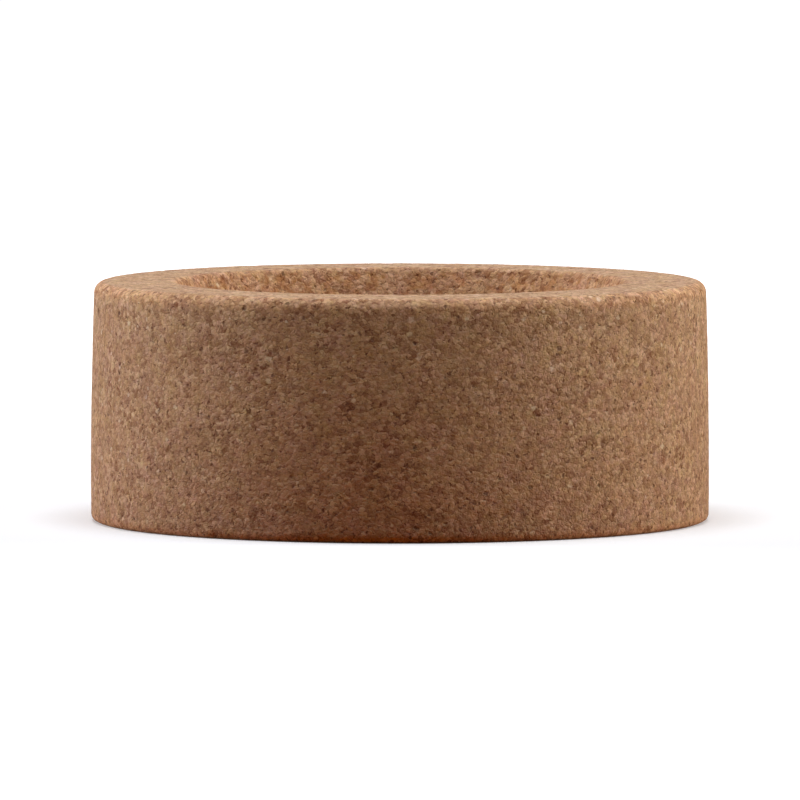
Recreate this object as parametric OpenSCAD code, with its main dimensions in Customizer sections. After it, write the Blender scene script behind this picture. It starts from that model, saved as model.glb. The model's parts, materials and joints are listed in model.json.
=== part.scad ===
// Cork ring: a pressed cork stand for a round-bottom flask, moulded in one piece.
// The flask rests in a funnel that narrows to a short straight hole at the foot.
// Millimetres, +Z up, origin at the centre of the foot face.

/* [Ring] */
// Widest diameter of the ring
outer_d = 80; // [74:0.5:160]
// Height from the foot face to the top face
height = 31; // [16:0.5:60]
// Level of the widest diameter above the foot face
widest_z = 6; // [3:0.5:12]
// Radius of the wall's crown, the slight bulge that narrows it towards the top
crown_r = 700; // [300:10:1500]

/* [Flask seat] */
// Diameter of the funnel's mouth in the top face
mouth_d = 58; // [44:0.5:68]
// Diameter of the straight hole
hole_d = 30; // [10:0.5:48]
// Height of the straight hole, from the foot face to the start of the funnel
hole_h = 5; // [3:0.25:10]

/* [Edges] */
// Radius of the top face's outer edge
top_edge_r = 1.5; // [0.5:0.1:3]
// Radius of the foot's outer edge
foot_edge_r = 0.9; // [0.3:0.1:2]
// Radius of the funnel's mouth edge
mouth_edge_r = 0.8; // [0.3:0.1:3]
// Radius of the throat, where the funnel turns into the straight hole
throat_r = 3; // [0.5:0.5:5]
// Radius of the straight hole's edge at the foot
hole_edge_r = 0.6; // [0.2:0.1:1.2]

/* [Hidden] */
cork = [0.66, 0.50, 0.36];
$fn = 120;
// Facets of the whole crown circle, which is so large that the wall is a small part of it
crown_facets = 1440;
// An edge's waste reaches this many times as far from its arc's centre as the material does
overreach = 1.2;
// An edge's arc is this much larger than the one that just touches its sides, so it crosses them cleanly
bite = 0.001;

// Centre of the crown's arc, level with the widest diameter: [radius, height]
crown_c = [outer_d / 2 - crown_r, widest_z];

// Corners of the section before its edges are rounded: [radius, height]
mouth = [mouth_d / 2, height];
throat = [hole_d / 2, hole_h];
hole_foot = [hole_d / 2, 0];
wall_foot = [crown_x(crown_r, 0), 0];
wall_top = [crown_x(crown_r, height), height];

// Directions along the section's straight sides
outward = [1, 0];
up = [0, 1];
up_funnel = (mouth - throat) / norm(mouth - throat);

// Radius from the ring's axis to an arc of radius r about the crown's centre, at height z
function crown_x(r, z) = crown_c.x + sqrt(r * r - pow(z - crown_c.y, 2));

// Centre of the arc of radius r that touches both straight sides leaving a corner along a and b
function fillet_centre(corner, a, b, r) = corner + (a + b) * r / abs(cross(a, b));

// Centre of the arc of radius r that touches the crowned wall from inside, at height z
function crown_fillet_centre(r, z) = [crown_x(crown_r - r, z), z];

// Nearest point to c on the straight side that runs through corner along a
function touch(corner, a, c) = corner + a * ((c - corner) * a);

// Point where an arc about c touches the crowned wall
function crown_touch(c) = crown_c + (c - crown_c) * crown_r / norm(c - crown_c);

// What rounding an edge takes away: the corner beyond an arc of radius r about c
module edge_waste(corner, c, touch_a, touch_b, r) {
    difference() {
        polygon([for (p = [c, touch_a, corner, touch_b]) c + overreach * (p - c)]);
        translate(c) circle(r = r + bite);
    }
}

// The corner between two straight sides that leave it along a and b
module straight_edge_waste(corner, a, b, r) {
    c = fillet_centre(corner, a, b, r);
    edge_waste(corner, c, touch(corner, a, c), touch(corner, b, c), r);
}

// The corner between a flat face and the crowned wall, with the arc's centre at height z
module wall_edge_waste(corner, r, z) {
    c = crown_fillet_centre(r, z);
    edge_waste(corner, c, touch(corner, outward, c), crown_touch(c), r);
}

// Half section of the ring: a wedge with a funnel inside and a crowned wall outside
module section() {
    difference() {
        intersection() {
            polygon([hole_foot, [outer_d, 0], [outer_d, height], mouth, throat]);
            translate(crown_c) circle(r = crown_r, $fn = crown_facets);
        }
        wall_edge_waste(wall_foot, foot_edge_r, foot_edge_r);
        wall_edge_waste(wall_top, top_edge_r, height - top_edge_r);
        straight_edge_waste(mouth, outward, -up_funnel, mouth_edge_r);
        straight_edge_waste(throat, up_funnel, -up, throat_r);
        straight_edge_waste(hole_foot, up, outward, hole_edge_r);
    }
}

module cork_ring() {
    color(cork) rotate_extrude() section();
}

cork_ring();
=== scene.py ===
"""Cork ring: the surface, finish, light and camera.

The ring is one closed skin, worked out as a grid over (turn, trace): turn goes once round the ring's axis
and trace goes once round its section. The same section stands in the CAD solid, and every grain, pit and
chip is sunk into it, so the skin never stands proud of the solid. Metres, +Z up, origin at the centre of the
foot face.
"""

import json
import math

import bpy
import numpy as np
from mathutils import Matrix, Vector

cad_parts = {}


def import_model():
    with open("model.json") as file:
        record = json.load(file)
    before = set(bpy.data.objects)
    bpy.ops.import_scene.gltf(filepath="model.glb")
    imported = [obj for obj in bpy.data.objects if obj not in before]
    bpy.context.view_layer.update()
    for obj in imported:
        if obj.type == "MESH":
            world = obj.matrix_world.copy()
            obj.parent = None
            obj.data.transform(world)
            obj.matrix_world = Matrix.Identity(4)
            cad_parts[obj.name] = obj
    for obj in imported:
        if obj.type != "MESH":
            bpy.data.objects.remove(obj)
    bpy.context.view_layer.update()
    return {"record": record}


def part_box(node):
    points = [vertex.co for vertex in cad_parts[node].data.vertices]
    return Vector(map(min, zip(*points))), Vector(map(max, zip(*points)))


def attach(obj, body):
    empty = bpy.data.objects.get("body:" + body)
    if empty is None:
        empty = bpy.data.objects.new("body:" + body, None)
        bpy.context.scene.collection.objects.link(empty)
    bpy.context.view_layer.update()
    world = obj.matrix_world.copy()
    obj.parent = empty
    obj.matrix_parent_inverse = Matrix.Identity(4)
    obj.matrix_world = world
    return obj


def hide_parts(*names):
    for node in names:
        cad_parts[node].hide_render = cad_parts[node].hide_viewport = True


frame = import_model()

MM = 0.001
NODE = "cork_ring"
BODY = "root"

# ================================================================ sizes of the skin
# ---------------------------------------------------------------- section, in mm
TOP_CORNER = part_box(NODE)[1]
OUTER_R = TOP_CORNER.x / MM
HEIGHT = TOP_CORNER.z / MM
HOLE_R = next(m["dims"]["r_mm"] for m in frame["record"]["mounts"] if m["name"] == "hole")
MOUTH_R = 29.0
HOLE_H = 5.0
CROWN_R = 700.0
WIDEST_Z = 6.0
TOP_EDGE_R = 1.5
FOOT_EDGE_R = 0.9
MOUTH_EDGE_R = 0.8
THROAT_R = 3.0
HOLE_EDGE_R = 0.6

# ---------------------------------------------------------------- grid
# Steps round the ring
TURN_STEPS = 640
# Steps along the section, in mm
WALL_STEP = 0.4
TOP_FACE_STEP = 0.42
EDGE_STEP = 0.33
THROAT_STEP = 2 * EDGE_STEP
FUNNEL_STEP = 0.9
HOLE_STEP = 1.2
FOOT_FACE_STEP = 5.0
# The fewest steps on any arc or side
FEWEST_STEPS = 2
# How strongly the funnel's points crowd towards the mouth: at 1 they are evenly spaced
FUNNEL_GRADE = 1.35

# ---------------------------------------------------------------- relief, in mm
# Granules: their size, how much flatter than wide they are pressed, and how their outlines wander
GRANULE = 1.3
PRESSING = 1.2
BEND_SIZE = 1.0
BEND_REACH = 0.35
# The most that one granule is sunk below another, and the seam between two
GRANULE_STEP = 0.022
SEAM_WIDTH = 0.4
SEAM_DEPTH = 0.020
# Slow waves over the whole skin
WAVE_SIZE = 10.0
WAVE_DEPTH = 0.02
# Pits: a share of the cubes of PIT_SPACING has one, and its depth is PIT_STEEPNESS times its radius
PIT_SPACING = 1.8
PIT_SHARE = 0.18
PIT_SMALLEST = 0.30
PIT_LARGEST = 0.65
PIT_STEEPNESS = 0.35
# Pits are deeper where the skin is rougher, up to this many times
PIT_GAIN = 1.3
# A pit of this depth gets the full painted shade: the material darkens each pit by its depth, as painted
# shade in the hollow
PIT_FULL_SHADE_DEPTH = 0.22
# Chips along the edges, at their full depth where their noise is above CHIP_FULL
CHIP_SIZE = 1.3
CHIP_DEPTH = 0.06
CHIP_FULL = 0.9

# How strongly each stretch of the section is pitted and grained: the moulded wall is 1
WALL_ROUGH = 1.0
EDGE_ROUGH = 1.2
TOP_ROUGH = 0.6
CUT_ROUGH = 1.9
FOOT_ROUGH = 0.0
# The mouth's edge is half moulded and half cut
MOUTH_CUT = 0.5
# Weights that blend each point's values with those of its two neighbours on both sides
EASING = np.array((1, 2, 3, 2, 1)) / 9
# A point is on the flat foot if it is lower than EPSILON and its outward direction is lower than DOWNWARD
EPSILON = 1e-6
DOWNWARD = -0.99

# ---------------------------------------------------------------- random numbers
SEED = 41
# Each kind of noise has its own salt, and uses a few that follow it
GRANULE_SALT = 10
WAVE_SALT = 20
PIT_SALT = 30
CUT_PIT_SALT = 36
BEND_SALT = 50
CHIP_SALT = 60
# Large odd numbers that tell neighbouring cells apart, and the shift and factors that mix their bits
CELL_FACTORS = (73856093, 19349663, 83492791)
SALT_FACTOR = 2654435761
MIX_SHIFT = 33
MIX_FACTORS = (0xFF51AFD7ED558CCD, 0xC4CEB9FE1A85EC53, 1)
WORD_BITS = 64
KEPT_BITS = 24


# ================================================================ section
def unit(v):
    """v scaled to length 1."""
    return np.asarray(v, float) / np.linalg.norm(v)


CROWN_C = (OUTER_R - CROWN_R, WIDEST_Z)
UP_FUNNEL = unit((MOUTH_R - HOLE_R, HEIGHT - HOLE_H))


def crown_x(radius, z):
    """Distance from the ring's axis to an arc about the crown's centre, at height z."""
    return CROWN_C[0] + math.sqrt(radius * radius - (z - CROWN_C[1]) ** 2)


def crown_fillet_centre(radius, z):
    """Centre of the arc that touches the crowned wall from inside, at height z."""
    return np.array((crown_x(CROWN_R - radius, z), z))


def fillet_centre(corner, a, b, radius):
    """Centre of the arc that touches both straight sides leaving a corner along a and b."""
    return np.asarray(corner) + (a + b) * radius / abs(a[0] * b[1] - a[1] * b[0])


def heading(x, y):
    """Angle of the direction (x, y), in degrees."""
    return math.degrees(math.atan2(y, x))


def arc(centre, radius, start, end, step):
    """Points on an arc from angle start to end in degrees, with the outward direction at each."""
    steps = max(FEWEST_STEPS, round(abs(math.radians(end - start)) * radius / step))
    angle = np.radians(np.linspace(start, end, steps + 1))
    out = np.stack([np.cos(angle), np.sin(angle)], 1)
    return np.asarray(centre) + radius * out, out


def straight(start, end, outward, step, grade=1.0):
    """Points on a straight side, without its ends, which belong to the arcs on both sides. A grade above 1
    crowds the points towards the start."""
    start, end = np.asarray(start), np.asarray(end)
    steps = max(FEWEST_STEPS, round(np.linalg.norm(end - start) / step))
    share = np.linspace(0, 1, steps + 1)[1:-1, None] ** grade
    return start + share * (end - start), np.repeat([np.asarray(outward, float)], steps - 1, 0)


def ease(values):
    """values along the closed section, each blended with its two neighbours on both sides."""
    reach = len(EASING) // 2
    return sum(w * np.roll(values, k - reach) for k, w in enumerate(EASING))


def section():
    """The closed section, anticlockwise from the foot's outer edge: points (radius, height) in mm, outward
    directions, roughness, and from 0 to 1 how far the surface was cut and not moulded."""
    outward, up = np.array((1.0, 0.0)), np.array((0.0, 1.0))
    into_funnel = np.array((-UP_FUNNEL[1], UP_FUNNEL[0]))
    foot_c = crown_fillet_centre(FOOT_EDGE_R, FOOT_EDGE_R)
    top_c = crown_fillet_centre(TOP_EDGE_R, HEIGHT - TOP_EDGE_R)
    mouth_c = fillet_centre((MOUTH_R, HEIGHT), outward, -UP_FUNNEL, MOUTH_EDGE_R)
    throat_c = fillet_centre((HOLE_R, HOLE_H), UP_FUNNEL, -up, THROAT_R)
    hole_c = fillet_centre((HOLE_R, 0.0), up, outward, HOLE_EDGE_R)
    wall_foot = heading(foot_c[0] - CROWN_C[0], foot_c[1] - CROWN_C[1])
    wall_top = heading(top_c[0] - CROWN_C[0], top_c[1] - CROWN_C[1])
    funnel = heading(*into_funnel)
    wall, wall_out = arc(CROWN_C, CROWN_R, wall_foot, wall_top, WALL_STEP)
    top_face = straight(top_c + TOP_EDGE_R * up, mouth_c + MOUTH_EDGE_R * up, up, TOP_FACE_STEP)
    funnel_top = mouth_c + MOUTH_EDGE_R * into_funnel
    funnel_end = throat_c + THROAT_R * into_funnel
    hole = straight((HOLE_R, throat_c[1]), (HOLE_R, HOLE_EDGE_R), -outward, HOLE_STEP)
    # Each stretch's points and outward directions, its roughness, and how far it is cut
    stretches = [
        (arc(foot_c, FOOT_EDGE_R, -90, wall_foot, EDGE_STEP), EDGE_ROUGH, 0),
        ((wall[1:-1], wall_out[1:-1]), WALL_ROUGH, 0),
        (arc(top_c, TOP_EDGE_R, wall_top, 90, EDGE_STEP), EDGE_ROUGH, 0),
        (top_face, TOP_ROUGH, 0),
        (arc(mouth_c, MOUTH_EDGE_R, 90, funnel, EDGE_STEP), EDGE_ROUGH, MOUTH_CUT),
        (straight(funnel_top, funnel_end, into_funnel, FUNNEL_STEP, FUNNEL_GRADE), CUT_ROUGH, 1),
        (arc(throat_c, THROAT_R, funnel, 180, THROAT_STEP), CUT_ROUGH, 1),
        (hole, CUT_ROUGH, 1),
        (arc(hole_c, HOLE_EDGE_R, 180, 270, EDGE_STEP), FOOT_ROUGH, 1),
        (straight((hole_c[0], 0), (foot_c[0], 0), -up, FOOT_FACE_STEP), FOOT_ROUGH, 0),
    ]
    counts = [len(points) for (points, _), _, _ in stretches]
    points = np.concatenate([p for (p, _), _, _ in stretches])
    out = np.concatenate([o for (_, o), _, _ in stretches])
    rough = np.repeat([r for _, r, _ in stretches], counts)
    cut = np.repeat([float(c) for *_, c in stretches], counts)
    flat_foot = (points[:, 1] < EPSILON) & (out[:, 1] < DOWNWARD)
    return points, out, np.where(flat_foot, 0.0, ease(rough)), ease(cut)


# ================================================================ noise on arrays of points
def level_ended(t):
    """t from 0 to 1, bent so that it is level at both ends: three times its square less twice its cube."""
    return t * t * (3 - 2 * t)


def step_up(x, low, high):
    """0 below low, 1 above high, and a smooth step between them."""
    return level_ended(np.clip((x - low) / (high - low), 0, 1))


def lattice_random(cell, salt):
    """A random number from 0 to 1 for each integer cell, the same every run: the cell's numbers are
    multiplied by large factors, joined bit by bit, and mixed."""
    c = cell.astype(np.int64).astype(np.uint64)
    x, y, z = (c[..., k] * np.uint64(factor) for k, factor in enumerate(CELL_FACTORS))
    h = x ^ y ^ z ^ np.uint64(salt * SALT_FACTOR + SEED)
    for factor in MIX_FACTORS:
        h = (h ^ (h >> np.uint64(MIX_SHIFT))) * np.uint64(factor)
    return (h >> np.uint64(WORD_BITS - KEPT_BITS)).astype(float) / 2.0**KEPT_BITS


def smooth_noise(p, size, salt):
    """Value noise from -1 to 1: random numbers at the corners of cells of that size, blended along each axis
    with a smooth step."""
    q = p / size
    cell = np.floor(q)
    t = level_ended(q - cell)
    total = np.zeros(len(p))
    for corner in np.ndindex(2, 2, 2):
        weight = np.prod(np.where(corner, t, 1 - t), axis=1)
        total += weight * lattice_random(cell + corner, salt)
    return 2 * total - 1


def grain_cells(p, size, salt):
    """Cells round one jittered seed in each cube of that size: distance to the nearest seed, distance to the
    next nearest, and the nearest one's own random number."""
    q = p / size
    cell = np.floor(q)
    nearest = np.full(len(p), np.inf)
    second = np.full(len(p), np.inf)
    own = np.zeros(len(p))
    for offset in np.ndindex(3, 3, 3):
        there = cell + np.array(offset) - 1
        seed = there + np.stack([lattice_random(there, salt + k) for k in range(3)], 1)
        away = np.linalg.norm(q - seed, axis=1)
        closer = away < nearest
        second = np.where(closer, nearest, np.minimum(second, away))
        own = np.where(closer, lattice_random(there, salt + 3), own)
        nearest = np.where(closer, away, nearest)
    return nearest * size, second * size, own


# ================================================================ relief, in mm below the solid's surface
def pits(p, salt):
    """Round-bottomed pits, one in a share of the cubes of PIT_SPACING: how deep each point lies, in mm. The
    depth falls with the square of the distance from the pit's middle."""
    away, _, own = grain_cells(p, PIT_SPACING, salt)
    radius = PIT_SMALLEST + (PIT_LARGEST - PIT_SMALLEST) * (own / PIT_SHARE)
    bowl = np.clip(1 - (away / radius) ** 2, 0, 1)
    return np.where(own < PIT_SHARE, PIT_STEEPNESS * radius * bowl, 0.0)


def relief(p, rough, cut):
    """How far each point of the skin is sunk, and how much of that is a pit. Pressed granules stand at
    slightly different depths with a shallow seam between them, pits are scattered, and the edges have small
    chips."""
    bend = np.stack([smooth_noise(p, BEND_SIZE, BEND_SALT + k) for k in range(3)], 1)
    warped = p * (1, 1, PRESSING) + BEND_REACH * bend
    near, second, own = grain_cells(warped, GRANULE, GRANULE_SALT)
    seam = 1 - step_up(second - near, 0.0, SEAM_WIDTH)
    wave = 1 + smooth_noise(p, WAVE_SIZE, WAVE_SALT)
    grain = GRANULE_STEP * own + SEAM_DEPTH * seam + WAVE_DEPTH * wave
    pitted = pits(warped, PIT_SALT) + cut * pits(warped, CUT_PIT_SALT)
    pitted = pitted * np.minimum(rough, PIT_GAIN)
    chipped = step_up(smooth_noise(p, CHIP_SIZE, CHIP_SALT), 0.0, CHIP_FULL)
    chips = CHIP_DEPTH * step_up(rough, WALL_ROUGH, EDGE_ROUGH) * chipped
    return rough * grain + pitted + chips, pitted


# ================================================================ the ring
def ring_skin():
    """The skin as a closed grid. A point at (turn, trace) is the section's point at trace, carried round the
    axis by turn, and then sunk along the section's inward direction by the relief there."""
    outline, out, rough, cut = section()
    turn = np.arange(TURN_STEPS) * (2 * math.pi / TURN_STEPS)
    spoke = np.stack([np.cos(turn), np.sin(turn)], 1)
    traces = len(outline)

    def carry(pair):
        """Each (radius, height) at each turn: the radius along the spoke, and the height along Z."""
        across = spoke[:, None, :] * pair[None, :, :1]
        along = np.broadcast_to(pair[None, :, 1:], (TURN_STEPS, traces, 1))
        return np.concatenate([across, along], 2).reshape(-1, 3)

    points, normals = carry(outline), carry(out)
    rough, cut = np.tile(rough, TURN_STEPS), np.tile(cut, TURN_STEPS)
    sunk, pitted = relief(points, rough, cut)
    points = (points - normals * sunk[:, None]) * MM

    row = np.arange(TURN_STEPS)[:, None] * traces
    next_row = np.roll(row, -1, axis=0)
    here = np.arange(traces)[None, :]
    ahead = np.roll(here, -1, axis=1)
    quads = np.stack([row + here, next_row + here, next_row + ahead, row + ahead], 2).reshape(-1, 4)

    mesh = bpy.data.meshes.new("ring_skin")
    mesh.from_pydata(points, [], quads)
    mesh.polygons.foreach_set("use_smooth", np.ones(len(quads), bool))
    # How dark each point is painted by its pit's depth: painted shade in the pits
    pit = np.clip(pitted / PIT_FULL_SHADE_DEPTH, 0, 1)
    # Where the outer edges are: the material paints them warmer, as painted warm light on the rim and the
    # foot edge
    edge = step_up(rough, WALL_ROUGH, EDGE_ROUGH) * (1 - cut)
    for name, values in {"pit": pit, "cut": cut, "edge": edge}.items():
        layer = mesh.attributes.new(name, "FLOAT", "POINT")
        layer.data.foreach_set("value", values.astype(np.float32))
    mesh.update()
    ring = bpy.data.objects.new("ring_skin", mesh)
    bpy.context.scene.collection.objects.link(ring)
    return ring


# ================================================================ shader helpers
# The Mix node's sockets that carry colours
MIX_A, MIX_B, MIX_RESULT = 6, 7, 2


def feed(tree, socket, value):
    """Links value to a socket if it is an output, and otherwise sets it as the socket's own value."""
    if isinstance(value, bpy.types.NodeSocket):
        tree.links.new(value, socket)
    else:
        socket.default_value = value


def operation_node(tree, kind, operation, values):
    """A Math or Vector Math node, with its inputs set or linked."""
    node = tree.nodes.new(kind)
    node.operation = operation
    for socket, value in zip(node.inputs, values):
        feed(tree, socket, value)
    return node


def math_node(tree, operation, *values):
    """A Math node's result."""
    return operation_node(tree, "ShaderNodeMath", operation, values).outputs["Value"]


def vector_node(tree, operation, *values):
    """A Vector Math node's vector result."""
    return operation_node(tree, "ShaderNodeVectorMath", operation, values).outputs["Vector"]


def scaled(tree, value, amount):
    """value * amount."""
    return math_node(tree, "MULTIPLY", value, amount)


def add_scaled(tree, total, value, amount, middle=0.0):
    """total + amount * (value - middle)."""
    return math_node(tree, "MULTIPLY_ADD", value, amount, math_node(tree, "SUBTRACT", total, amount * middle))


def blend_colour(tree, factor, a, b, mode="MIX"):
    """A colour Mix node's result."""
    node = tree.nodes.new("ShaderNodeMix")
    node.data_type = "RGBA"
    node.blend_type = mode
    feed(tree, node.inputs["Factor"], factor)
    feed(tree, node.inputs[MIX_A], a)
    feed(tree, node.inputs[MIX_B], b)
    return node.outputs[MIX_RESULT]


def remap(tree, value, low, high, to_low=0.0, to_high=1.0, interpolation="SMOOTHSTEP"):
    """value carried from low..high to to_low..to_high, clamped."""
    node = tree.nodes.new("ShaderNodeMapRange")
    node.interpolation_type = interpolation
    settings = {"Value": value, "From Min": low, "From Max": high, "To Min": to_low, "To Max": to_high}
    for name, setting in settings.items():
        feed(tree, node.inputs[name], setting)
    return node.outputs["Result"]


def noise(tree, vector, size, detail, colour=False):
    """A Noise texture's value, or its colour, with features about size mm across."""
    node = tree.nodes.new("ShaderNodeTexNoise")
    feed(tree, node.inputs["Vector"], vector)
    feed(tree, node.inputs["Scale"], 1.0 / size)
    feed(tree, node.inputs["Detail"], detail)
    return node.outputs["Color" if colour else "Fac"]


def noise_mask(tree, vector, size, detail, low, high):
    """Patches: 0 where the noise is below low, and 1 where it is above high."""
    return remap(tree, noise(tree, vector, size, detail), low, high)


def add_noise(tree, total, vector, size, detail, amount, middle=0.0):
    """total + amount * (noise - middle)."""
    return add_scaled(tree, total, noise(tree, vector, size, detail), amount, middle)


def cells(tree, vector, size, feature="F1"):
    """A Voronoi texture node with one seed in each cube of size mm."""
    node = tree.nodes.new("ShaderNodeTexVoronoi")
    node.feature = feature
    feed(tree, node.inputs["Vector"], vector)
    feed(tree, node.inputs["Scale"], math_node(tree, "DIVIDE", 1.0, size))
    return node


def channels(tree, colour):
    """A colour's Red, Green and Blue, which serve as three random numbers."""
    node = tree.nodes.new("ShaderNodeSeparateColor")
    feed(tree, node.inputs["Color"], colour)
    return node.outputs


def attribute(tree, name):
    """A value kept on the mesh's points."""
    node = tree.nodes.new("ShaderNodeAttribute")
    node.attribute_name = name
    return node.outputs["Fac"]


def srgb(r, g, b):
    """A colour given as it looks on screen, from 0 to 255, as linear numbers by the sRGB curve."""
    c = np.array((r, g, b)) / 255
    linear = np.where(c <= 0.04045, c / 12.92, ((c + 0.055) / 1.055) ** 2.4)
    return (*linear.tolist(), 1.0)


# ================================================================ node groups
# A granule's top is rounded within this distance of its edge, in shares of its size
ROUNDING = 0.3
# The most that one granule's top stands above another's, when its rounding is 1 high
GRANULE_LIFT = 0.6
# A speck's radius is its size times a random number from SPECK_SMALLEST up to 1 more, and its mask fades out
# from SPECK_CORE of that radius to all of it
SPECK_SMALLEST = 0.5
SPECK_CORE = 0.45


def new_group(name, inputs, outputs):
    """An empty shader node group with named sockets. inputs maps each name to its kind and default, and
    outputs maps each name to its kind."""
    group = bpy.data.node_groups.new(name, "ShaderNodeTree")
    for label, (kind, default) in inputs.items():
        socket = group.interface.new_socket(label, in_out="INPUT", socket_type="NodeSocket" + kind)
        if default is not None:
            socket.default_value = default
    for label, kind in outputs.items():
        group.interface.new_socket(label, in_out="OUTPUT", socket_type="NodeSocket" + kind)
    return group, group.nodes.new("NodeGroupInput").outputs, group.nodes.new("NodeGroupOutput").inputs


def place_group(tree, group, **values):
    """A node group placed in a material, with its inputs set or linked."""
    node = tree.nodes.new("ShaderNodeGroup")
    node.node_tree = group
    for name, value in values.items():
        feed(tree, node.inputs[name], value)
    return node.outputs


def pressed_grain_group():
    """Granules of one size: a random tone for each, a line where two meet, and a rounded height."""
    tree, i, o = new_group(
        "pressed grain",
        {"Vector": ("Vector", None), "Size": ("Float", 1.0), "Seam": ("Float", 0.08)},
        {"Tone": "Float", "Seam": "Float", "Height": "Float"},
    )
    own = channels(tree, cells(tree, i["Vector"], i["Size"]).outputs["Color"])
    inset = cells(tree, i["Vector"], i["Size"], "DISTANCE_TO_EDGE").outputs["Distance"]
    dome = remap(tree, inset, 0.0, ROUNDING)
    feed(tree, o["Tone"], own["Red"])
    feed(tree, o["Seam"], remap(tree, inset, 0.0, i["Seam"], 1.0, 0.0))
    feed(tree, o["Height"], math_node(tree, "MULTIPLY_ADD", own["Blue"], GRANULE_LIFT, dome))
    return tree


def specks_group():
    """Scattered specks: a mask that is 1 in the middle of a share of the cells. Size is a share of a cell."""
    tree, i, o = new_group(
        "specks",
        {
            "Vector": ("Vector", None),
            "Spacing": ("Float", 1.0),
            "Share": ("Float", 0.1),
            "Size": ("Float", 0.4),
        },
        {"Mask": "Float"},
    )
    seeds = cells(tree, i["Vector"], i["Spacing"])
    own = channels(tree, seeds.outputs["Color"])
    chosen = math_node(tree, "LESS_THAN", own["Red"], i["Share"])
    radius = scaled(tree, i["Size"], math_node(tree, "ADD", own["Green"], SPECK_SMALLEST))
    core = scaled(tree, radius, SPECK_CORE)
    spot = remap(tree, seeds.outputs["Distance"], core, radius, 1.0, 0.0)
    feed(tree, o["Mask"], scaled(tree, chosen, spot))
    return tree


# ================================================================ cork
CORK_DARK = srgb(142, 95, 65)
CORK_MID = srgb(206, 166, 130)
CORK_LIGHT = srgb(238, 202, 164)
# This brown colours the seams, and is also the painted shade in the gaps between granules
SEAM_AND_GAP_SHADE_BROWN = srgb(100, 58, 38)
# This brown colours the dark specks and bark, and is also the painted shade in the pits
SPECK_AND_PIT_SHADE_BROWN = srgb(80, 54, 46)
FLAKE_CREAM = srgb(240, 216, 186)
CUT_TINT = (1.0, 0.905, 0.815, 1.0)
BLOTCH_TINT = (0.86, 0.74, 0.61, 1.0)
# The tint on the outer edges is painted warm light on the rim and the foot edge, not a colour of the cork
EDGE_WARM_LIGHT_TINT = (1.09, 1.015, 0.95, 1.0)
CORK_ROUGHNESS = 0.85
CORK_SPECULAR = 0.15

# ---------------------------------------------------------------- granules and specks, sizes in mm
NOISE_MIDDLE = 0.5
# The noise that bends the granules' outlines, how far it does, and how much flatter than wide they are
BENDING_SIZE, BENDING_DETAIL, BENDING = 0.5, 3.0, 0.7
FLATTENING = (1.0, 1.0, 1.15)
COARSE_GRAIN = dict(Size=1.6, Seam=0.06)
FINE_GRAIN = dict(Size=0.62, Seam=0.16)
BARK_SPECKS = dict(Spacing=1.8, Share=0.22, Size=0.18)
DARK_SPECKS = dict(Spacing=0.9, Share=0.11, Size=0.26)
PALE_FLAKES = dict(Spacing=1.2, Share=0.14, Size=0.28)

# ---------------------------------------------------------------- tone
# CORK_DARK, CORK_MID and CORK_LIGHT stand at these tones
TONE_DARK, TONE_MID, TONE_LIGHT = -0.2, 0.5, 1.2
# How much each size of granule adds to the tone
FINE_TONE = 0.76
COARSE_TONE = 0.22
# How much noise adds to the tone: its size in mm, its detail, and the amount
CRUMB_TONE = (0.35, 2.0, 0.8)
CLUSTER_TONE = (1.1, 1.0, 0.2)
CLOUD_TONE = (7.0, 3.0, 0.35)
# Some areas have more contrast: the size in mm and detail of their noise, its range, and the contrast's range
BUSY_SIZE, BUSY_DETAIL = 3.5, 1.0
BUSY_RANGE = (0.32, 0.68, 0.62, 1.3)

# ---------------------------------------------------------------- stains and hues
# Masks made from noise: its size in mm, its detail, and the values between which the mask rises
SEAM_PATCHES = (0.9, 2.0, 0.35, 0.6)
# Short dark marks in the gaps between granules, painted shade
SHADED_GAPS = (0.55, 1.0, 0.63, 0.72)
BLOTCHES = (1.5, 1.0, 0.47, 0.62)
# Blotches begin where the surface is cut this far
BLOTCH_START = 0.5
# How strongly each stain, and the painted shade in the gaps and in the pits, covers the tan
SEAM_STAIN = 0.4
GAP_SHADE_PAINT = 0.70
PALE_STAIN = 0.8
DARK_STAIN = 0.60
BARK_STAIN = 0.60
PIT_SHADE_PAINT = 0.35
# Small and large patches of hue: their size in mm, and the swing of red, green and blue
HUE_PATCHES = ((0.6, (0.07, 0.20, 0.44)), (2.6, (0.08, 0.18, 0.35)))
HUE_DETAIL = 2.0

# ---------------------------------------------------------------- fine heights, in mm
COARSE_HEIGHT = 0.014
FINE_HEIGHT = 0.022
DARK_HEIGHT = -0.06
BARK_HEIGHT = -0.10
GAP_HEIGHT = -0.03
# Noise: its size in mm, its detail, and the height it adds
GRIT_HEIGHT = (0.15, 3.0, 0.028)
LUMP_HEIGHT = (0.45, 2.0, 0.15)


def stain_and_shade(tree, tan, mask, strength, colour):
    """tan covered by a colour where the mask is high."""
    return blend_colour(tree, scaled(tree, mask, strength), tan, colour)


def tinge(tree, tan, mask, tint):
    """tan multiplied by a tint where the mask is high."""
    return blend_colour(tree, mask, tan, blend_colour(tree, 1.0, tan, tint, "MULTIPLY"))


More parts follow.
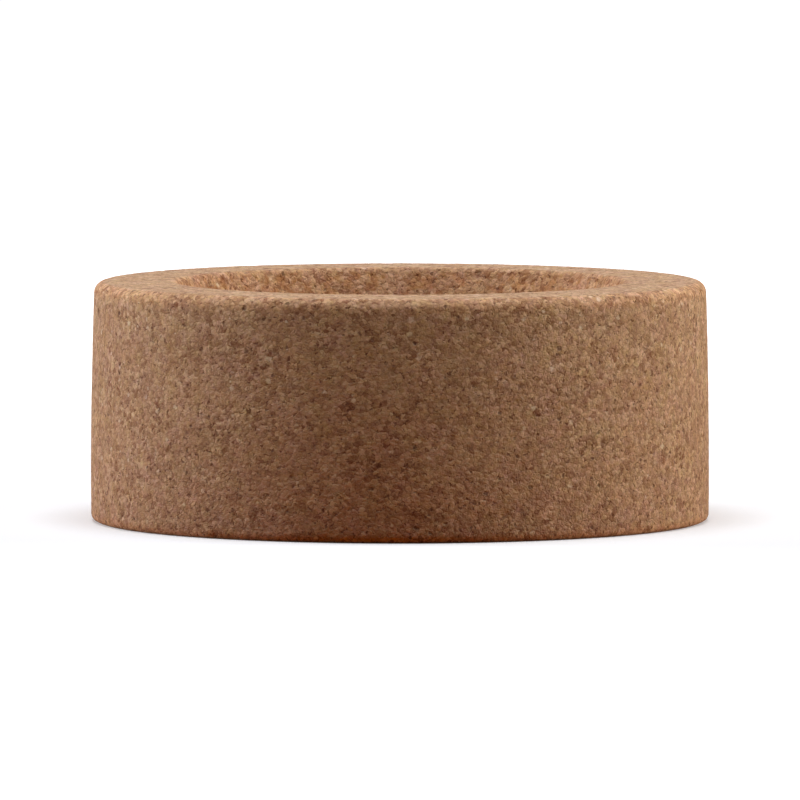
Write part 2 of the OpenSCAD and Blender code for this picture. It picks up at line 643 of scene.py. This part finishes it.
def cork_tone(tree, place, fine, coarse):
    """Light and dark: each granule has a tone of its own, fine and coarser noise stirs it, some areas have
    more contrast than others, and soft clouds lie over all."""
    grain = add_scaled(tree, 0.0, fine["Tone"], FINE_TONE, NOISE_MIDDLE)
    grain = add_scaled(tree, grain, coarse["Tone"], COARSE_TONE, NOISE_MIDDLE)
    grain = add_noise(tree, grain, place, *CRUMB_TONE, NOISE_MIDDLE)
    grain = add_noise(tree, grain, place, *CLUSTER_TONE, NOISE_MIDDLE)
    busy = remap(tree, noise(tree, place, BUSY_SIZE, BUSY_DETAIL), *BUSY_RANGE)
    tone = math_node(tree, "MULTIPLY_ADD", grain, busy, TONE_MID)
    return add_noise(tree, tone, place, *CLOUD_TONE, NOISE_MIDDLE)


def tone_to_tan(tree, tone):
    """The tone's colour, from dark through the middle tan to light."""
    lower = remap(tree, tone, TONE_DARK, TONE_MID, interpolation="LINEAR")
    upper = remap(tree, tone, TONE_MID, TONE_LIGHT, interpolation="LINEAR")
    return blend_colour(tree, upper, blend_colour(tree, lower, CORK_DARK, CORK_MID), CORK_LIGHT)


def patch_hues(tree, tan, place):
    """tan with small and large patches that are redder, yellower or greyer than the rest."""
    for size, swing in HUE_PATCHES:
        hue = noise(tree, place, size, HUE_DETAIL, colour=True)
        hue = vector_node(tree, "SUBTRACT", hue, (NOISE_MIDDLE,) * 3)
        tint = vector_node(tree, "ADD", vector_node(tree, "MULTIPLY", hue, swing), (1.0,) * 3)
        tan = blend_colour(tree, 1.0, tan, tint, "MULTIPLY")
    return tan


def cork_material():
    """Pressed cork: coarse and fine granules in several tans, thin seams, dark specks, pale flakes and soft
    patches of hue. Short dark marks in the gaps between granules are painted shade, and the pits are darkened
    by their depth as painted shade. The cut funnel and hole are redder and blotched, and the outer edges have
    a warmer tone that is painted warm light, on the rim and at the foot."""
    material = bpy.data.materials.new("pressed cork")
    material.use_nodes = True
    tree = material.node_tree
    shader = tree.nodes["Principled BSDF"]
    metres = tree.nodes.new("ShaderNodeTexCoord").outputs["Object"]
    place = vector_node(tree, "MULTIPLY", metres, (1 / MM,) * 3)
    flattened = vector_node(tree, "MULTIPLY", place, FLATTENING)
    wobble = noise(tree, place, BENDING_SIZE, BENDING_DETAIL, colour=True)
    wobble = vector_node(tree, "SUBTRACT", wobble, (NOISE_MIDDLE,) * 3)
    bent = vector_node(tree, "ADD", flattened, vector_node(tree, "MULTIPLY", wobble, (BENDING,) * 3))
    painted_pit_shade, cut, edge = attribute(tree, "pit"), attribute(tree, "cut"), attribute(tree, "edge")

    grain, specks = pressed_grain_group(), specks_group()
    coarse = place_group(tree, grain, Vector=bent, **COARSE_GRAIN)
    fine = place_group(tree, grain, Vector=bent, **FINE_GRAIN)
    bark = place_group(tree, specks, Vector=bent, **BARK_SPECKS)["Mask"]
    dark = place_group(tree, specks, Vector=bent, **DARK_SPECKS)["Mask"]
    pale = place_group(tree, specks, Vector=bent, **PALE_FLAKES)["Mask"]
    shaded_gaps = noise_mask(tree, bent, *SHADED_GAPS)
    seam_stain = scaled(tree, noise_mask(tree, flattened, *SEAM_PATCHES), SEAM_STAIN)
    inside = remap(tree, cut, BLOTCH_START, 1.0)
    blotches = scaled(tree, inside, noise_mask(tree, bent, *BLOTCHES))

    tan = tone_to_tan(tree, cork_tone(tree, place, fine, coarse))
    tan = stain_and_shade(tree, tan, fine["Seam"], seam_stain, SEAM_AND_GAP_SHADE_BROWN)
    # Painted shade in the small gaps between granules
    tan = stain_and_shade(tree, tan, shaded_gaps, GAP_SHADE_PAINT, SEAM_AND_GAP_SHADE_BROWN)
    tan = stain_and_shade(tree, tan, pale, PALE_STAIN, FLAKE_CREAM)
    tan = stain_and_shade(tree, tan, dark, DARK_STAIN, SPECK_AND_PIT_SHADE_BROWN)
    tan = stain_and_shade(tree, tan, bark, BARK_STAIN, SPECK_AND_PIT_SHADE_BROWN)
    tan = patch_hues(tree, tan, place)
    # Painted shade in the pits, darker where they are deeper
    tan = stain_and_shade(tree, tan, painted_pit_shade, PIT_SHADE_PAINT, SPECK_AND_PIT_SHADE_BROWN)
    tan = tinge(tree, tan, cut, CUT_TINT)
    tan = tinge(tree, tan, blotches, BLOTCH_TINT)
    # Painted warm light on the rim and the foot edge
    tan = tinge(tree, tan, edge, EDGE_WARM_LIGHT_TINT)
    feed(tree, shader.inputs["Base Color"], tan)
    shader.inputs["Roughness"].default_value = CORK_ROUGHNESS
    shader.inputs["Specular IOR Level"].default_value = CORK_SPECULAR

    high = scaled(tree, coarse["Height"], COARSE_HEIGHT)
    high = add_scaled(tree, high, fine["Height"], FINE_HEIGHT)
    high = add_noise(tree, high, place, *GRIT_HEIGHT)
    high = add_noise(tree, high, bent, *LUMP_HEIGHT)
    high = add_scaled(tree, high, dark, DARK_HEIGHT)
    high = add_scaled(tree, high, bark, BARK_HEIGHT)
    high = add_scaled(tree, high, shaded_gaps, GAP_HEIGHT)
    bump = tree.nodes.new("ShaderNodeBump")
    bump.inputs["Strength"].default_value = 1.0
    bump.inputs["Distance"].default_value = MM
    feed(tree, bump.inputs["Height"], high)
    feed(tree, shader.inputs["Normal"], bump.outputs["Normal"])
    return material


# ================================================================ floor and sky, in metres
WHITE = (1.0, 1.0, 1.0, 1.0)
FLOOR_REACH = 12.0
# What shows of the floor: a pale matt colour that takes the shadow, and a glow that is stronger farther out
FLOOR_PALE = (0.8, 0.8, 0.8, 1.0)
NEAR_GLOW, FAR_GLOW = 0.30, 1.0
NEAR_GLOW_R, FAR_GLOW_R = 0.14, 0.34
# What the floor throws back on the ring: deep tan near it, and paler farther out
BOUNCE_NEAR = srgb(147, 80, 4)
BOUNCE_FAR = srgb(182, 162, 138)
BOUNCE_NEAR_R, BOUNCE_FAR_R = 0.055, 0.09


def shown(tree):
    """1 where the camera or a reflection looks, and 0 for all other light."""
    path = tree.nodes.new("ShaderNodeLightPath")
    return math_node(tree, "MAXIMUM", path.outputs["Is Camera Ray"], path.outputs["Is Glossy Ray"])


def floor_material():
    """White with the ring's soft shadow where it shows. What it throws back on the ring is tan near it, as
    from a cork mat."""
    material = bpy.data.materials.new("white floor")
    material.use_nodes = True
    tree = material.node_tree
    tree.nodes.clear()
    metres = tree.nodes.new("ShaderNodeTexCoord").outputs["Object"]
    radius = operation_node(tree, "ShaderNodeVectorMath", "LENGTH", (metres,)).outputs["Value"]
    pale = tree.nodes.new("ShaderNodeBsdfDiffuse")
    pale.inputs["Color"].default_value = FLOOR_PALE
    glow = tree.nodes.new("ShaderNodeEmission")
    feed(tree, glow.inputs["Strength"], remap(tree, radius, NEAR_GLOW_R, FAR_GLOW_R, NEAR_GLOW, FAR_GLOW))
    front = tree.nodes.new("ShaderNodeAddShader")
    feed(tree, front.inputs[0], pale.outputs["BSDF"])
    feed(tree, front.inputs[1], glow.outputs["Emission"])
    bounce = tree.nodes.new("ShaderNodeBsdfDiffuse")
    far_out = remap(tree, radius, BOUNCE_NEAR_R, BOUNCE_FAR_R)
    feed(tree, bounce.inputs["Color"], blend_colour(tree, far_out, BOUNCE_NEAR, BOUNCE_FAR))
    choose = tree.nodes.new("ShaderNodeMixShader")
    feed(tree, choose.inputs["Fac"], shown(tree))
    feed(tree, choose.inputs[1], bounce.outputs["BSDF"])
    feed(tree, choose.inputs[2], front.outputs["Shader"])
    out = tree.nodes.new("ShaderNodeOutputMaterial")
    feed(tree, out.inputs["Surface"], choose.outputs["Shader"])
    return material


def floor():
    """A plain white floor under the ring."""
    mesh = bpy.data.meshes.new("floor")
    reach = FLOOR_REACH
    corners = [(-reach, -reach, 0), (reach, -reach, 0), (reach, reach, 0), (-reach, reach, 0)]
    mesh.from_pydata(corners, [], [(0, 1, 2, 3)])
    mesh.materials.append(floor_material())
    ground = bpy.data.objects.new("floor", mesh)
    bpy.context.scene.collection.objects.link(ground)


def world():
    """White where the camera or a reflection looks past the floor. It throws no light."""
    sky = bpy.data.worlds.new("studio")
    bpy.context.scene.world = sky
    sky.use_nodes = True
    tree = sky.node_tree
    tree.nodes.clear()
    white = tree.nodes.new("ShaderNodeBackground")
    white.inputs["Color"].default_value = WHITE
    feed(tree, white.inputs["Strength"], shown(tree))
    out = tree.nodes.new("ShaderNodeOutputWorld")
    feed(tree, out.inputs["Surface"], white.outputs["Background"])


# ================================================================ lamps and camera, in metres
RING_MIDDLE = (0, 0, HEIGHT * MM / 2)

# Square soft boxes, all of one size and equally far from the ring
BOX_DISTANCE = 0.9
BOX_WIDTH = 0.5
SOFT_BOXES = {
    "left box": dict(azimuth=-105, elevation=12, power=5.75, colour=(1.0, 0.99, 1.03)),
    "right box": dict(azimuth=96, elevation=15, power=4.85, colour=(1.01, 0.965, 0.89)),
    "top box": dict(azimuth=0, elevation=85, power=6.0, colour=(0.97, 1.0, 1.07)),
}

CAMERA_BACK = 1.78
CAMERA_UP = 0.139
# How wide the ring is in a picture that is IMAGE_PIXELS wide
RING_PIXELS = 620
IMAGE_PIXELS = 800
SENSOR_MM = 36.0
CLIP_START, CLIP_END = 0.05, 40.0


def aim(thing, target):
    """Turns a lamp or a camera towards a point."""
    thing.rotation_euler = (Vector(target) - thing.location).to_track_quat("-Z", "Y").to_euler()


def soft_box(name, azimuth, elevation, power, colour):
    """An area lamp aimed at the ring. Azimuth 0 is beside the camera, and 90 is to its right."""
    lamp = bpy.data.lights.new(name, "AREA")
    lamp.shape = "SQUARE"
    lamp.size = BOX_WIDTH
    lamp.energy = power
    lamp.color = colour
    box = bpy.data.objects.new(name, lamp)
    bpy.context.scene.collection.objects.link(box)
    a, e = math.radians(azimuth), math.radians(elevation)
    towards_box = Vector((math.sin(a) * math.cos(e), -math.cos(a) * math.cos(e), math.sin(e)))
    box.location = BOX_DISTANCE * towards_box
    aim(box, RING_MIDDLE)


def camera():
    """A long lens 1.8 m from the ring, a little above it, with the ring in the middle of the picture."""
    lens = bpy.data.cameras.new("camera")
    eye = bpy.data.objects.new("camera", lens)
    bpy.context.scene.collection.objects.link(eye)
    eye.location = (0, -CAMERA_BACK, CAMERA_UP)
    aim(eye, RING_MIDDLE)
    ring_width = 2 * OUTER_R * MM
    lens.sensor_width = SENSOR_MM
    lens.lens = SENSOR_MM * (RING_PIXELS / IMAGE_PIXELS) * CAMERA_BACK / ring_width
    lens.clip_start, lens.clip_end = CLIP_START, CLIP_END
    bpy.context.scene.camera = eye


# ================================================================ put together
ring = ring_skin()
ring.data.materials.append(cork_material())
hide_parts(NODE)
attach(ring, BODY)

floor()
world()
for name, values in SOFT_BOXES.items():
    soft_box(name, **values)
camera()
bpy.context.scene.view_settings.view_transform = "Standard"
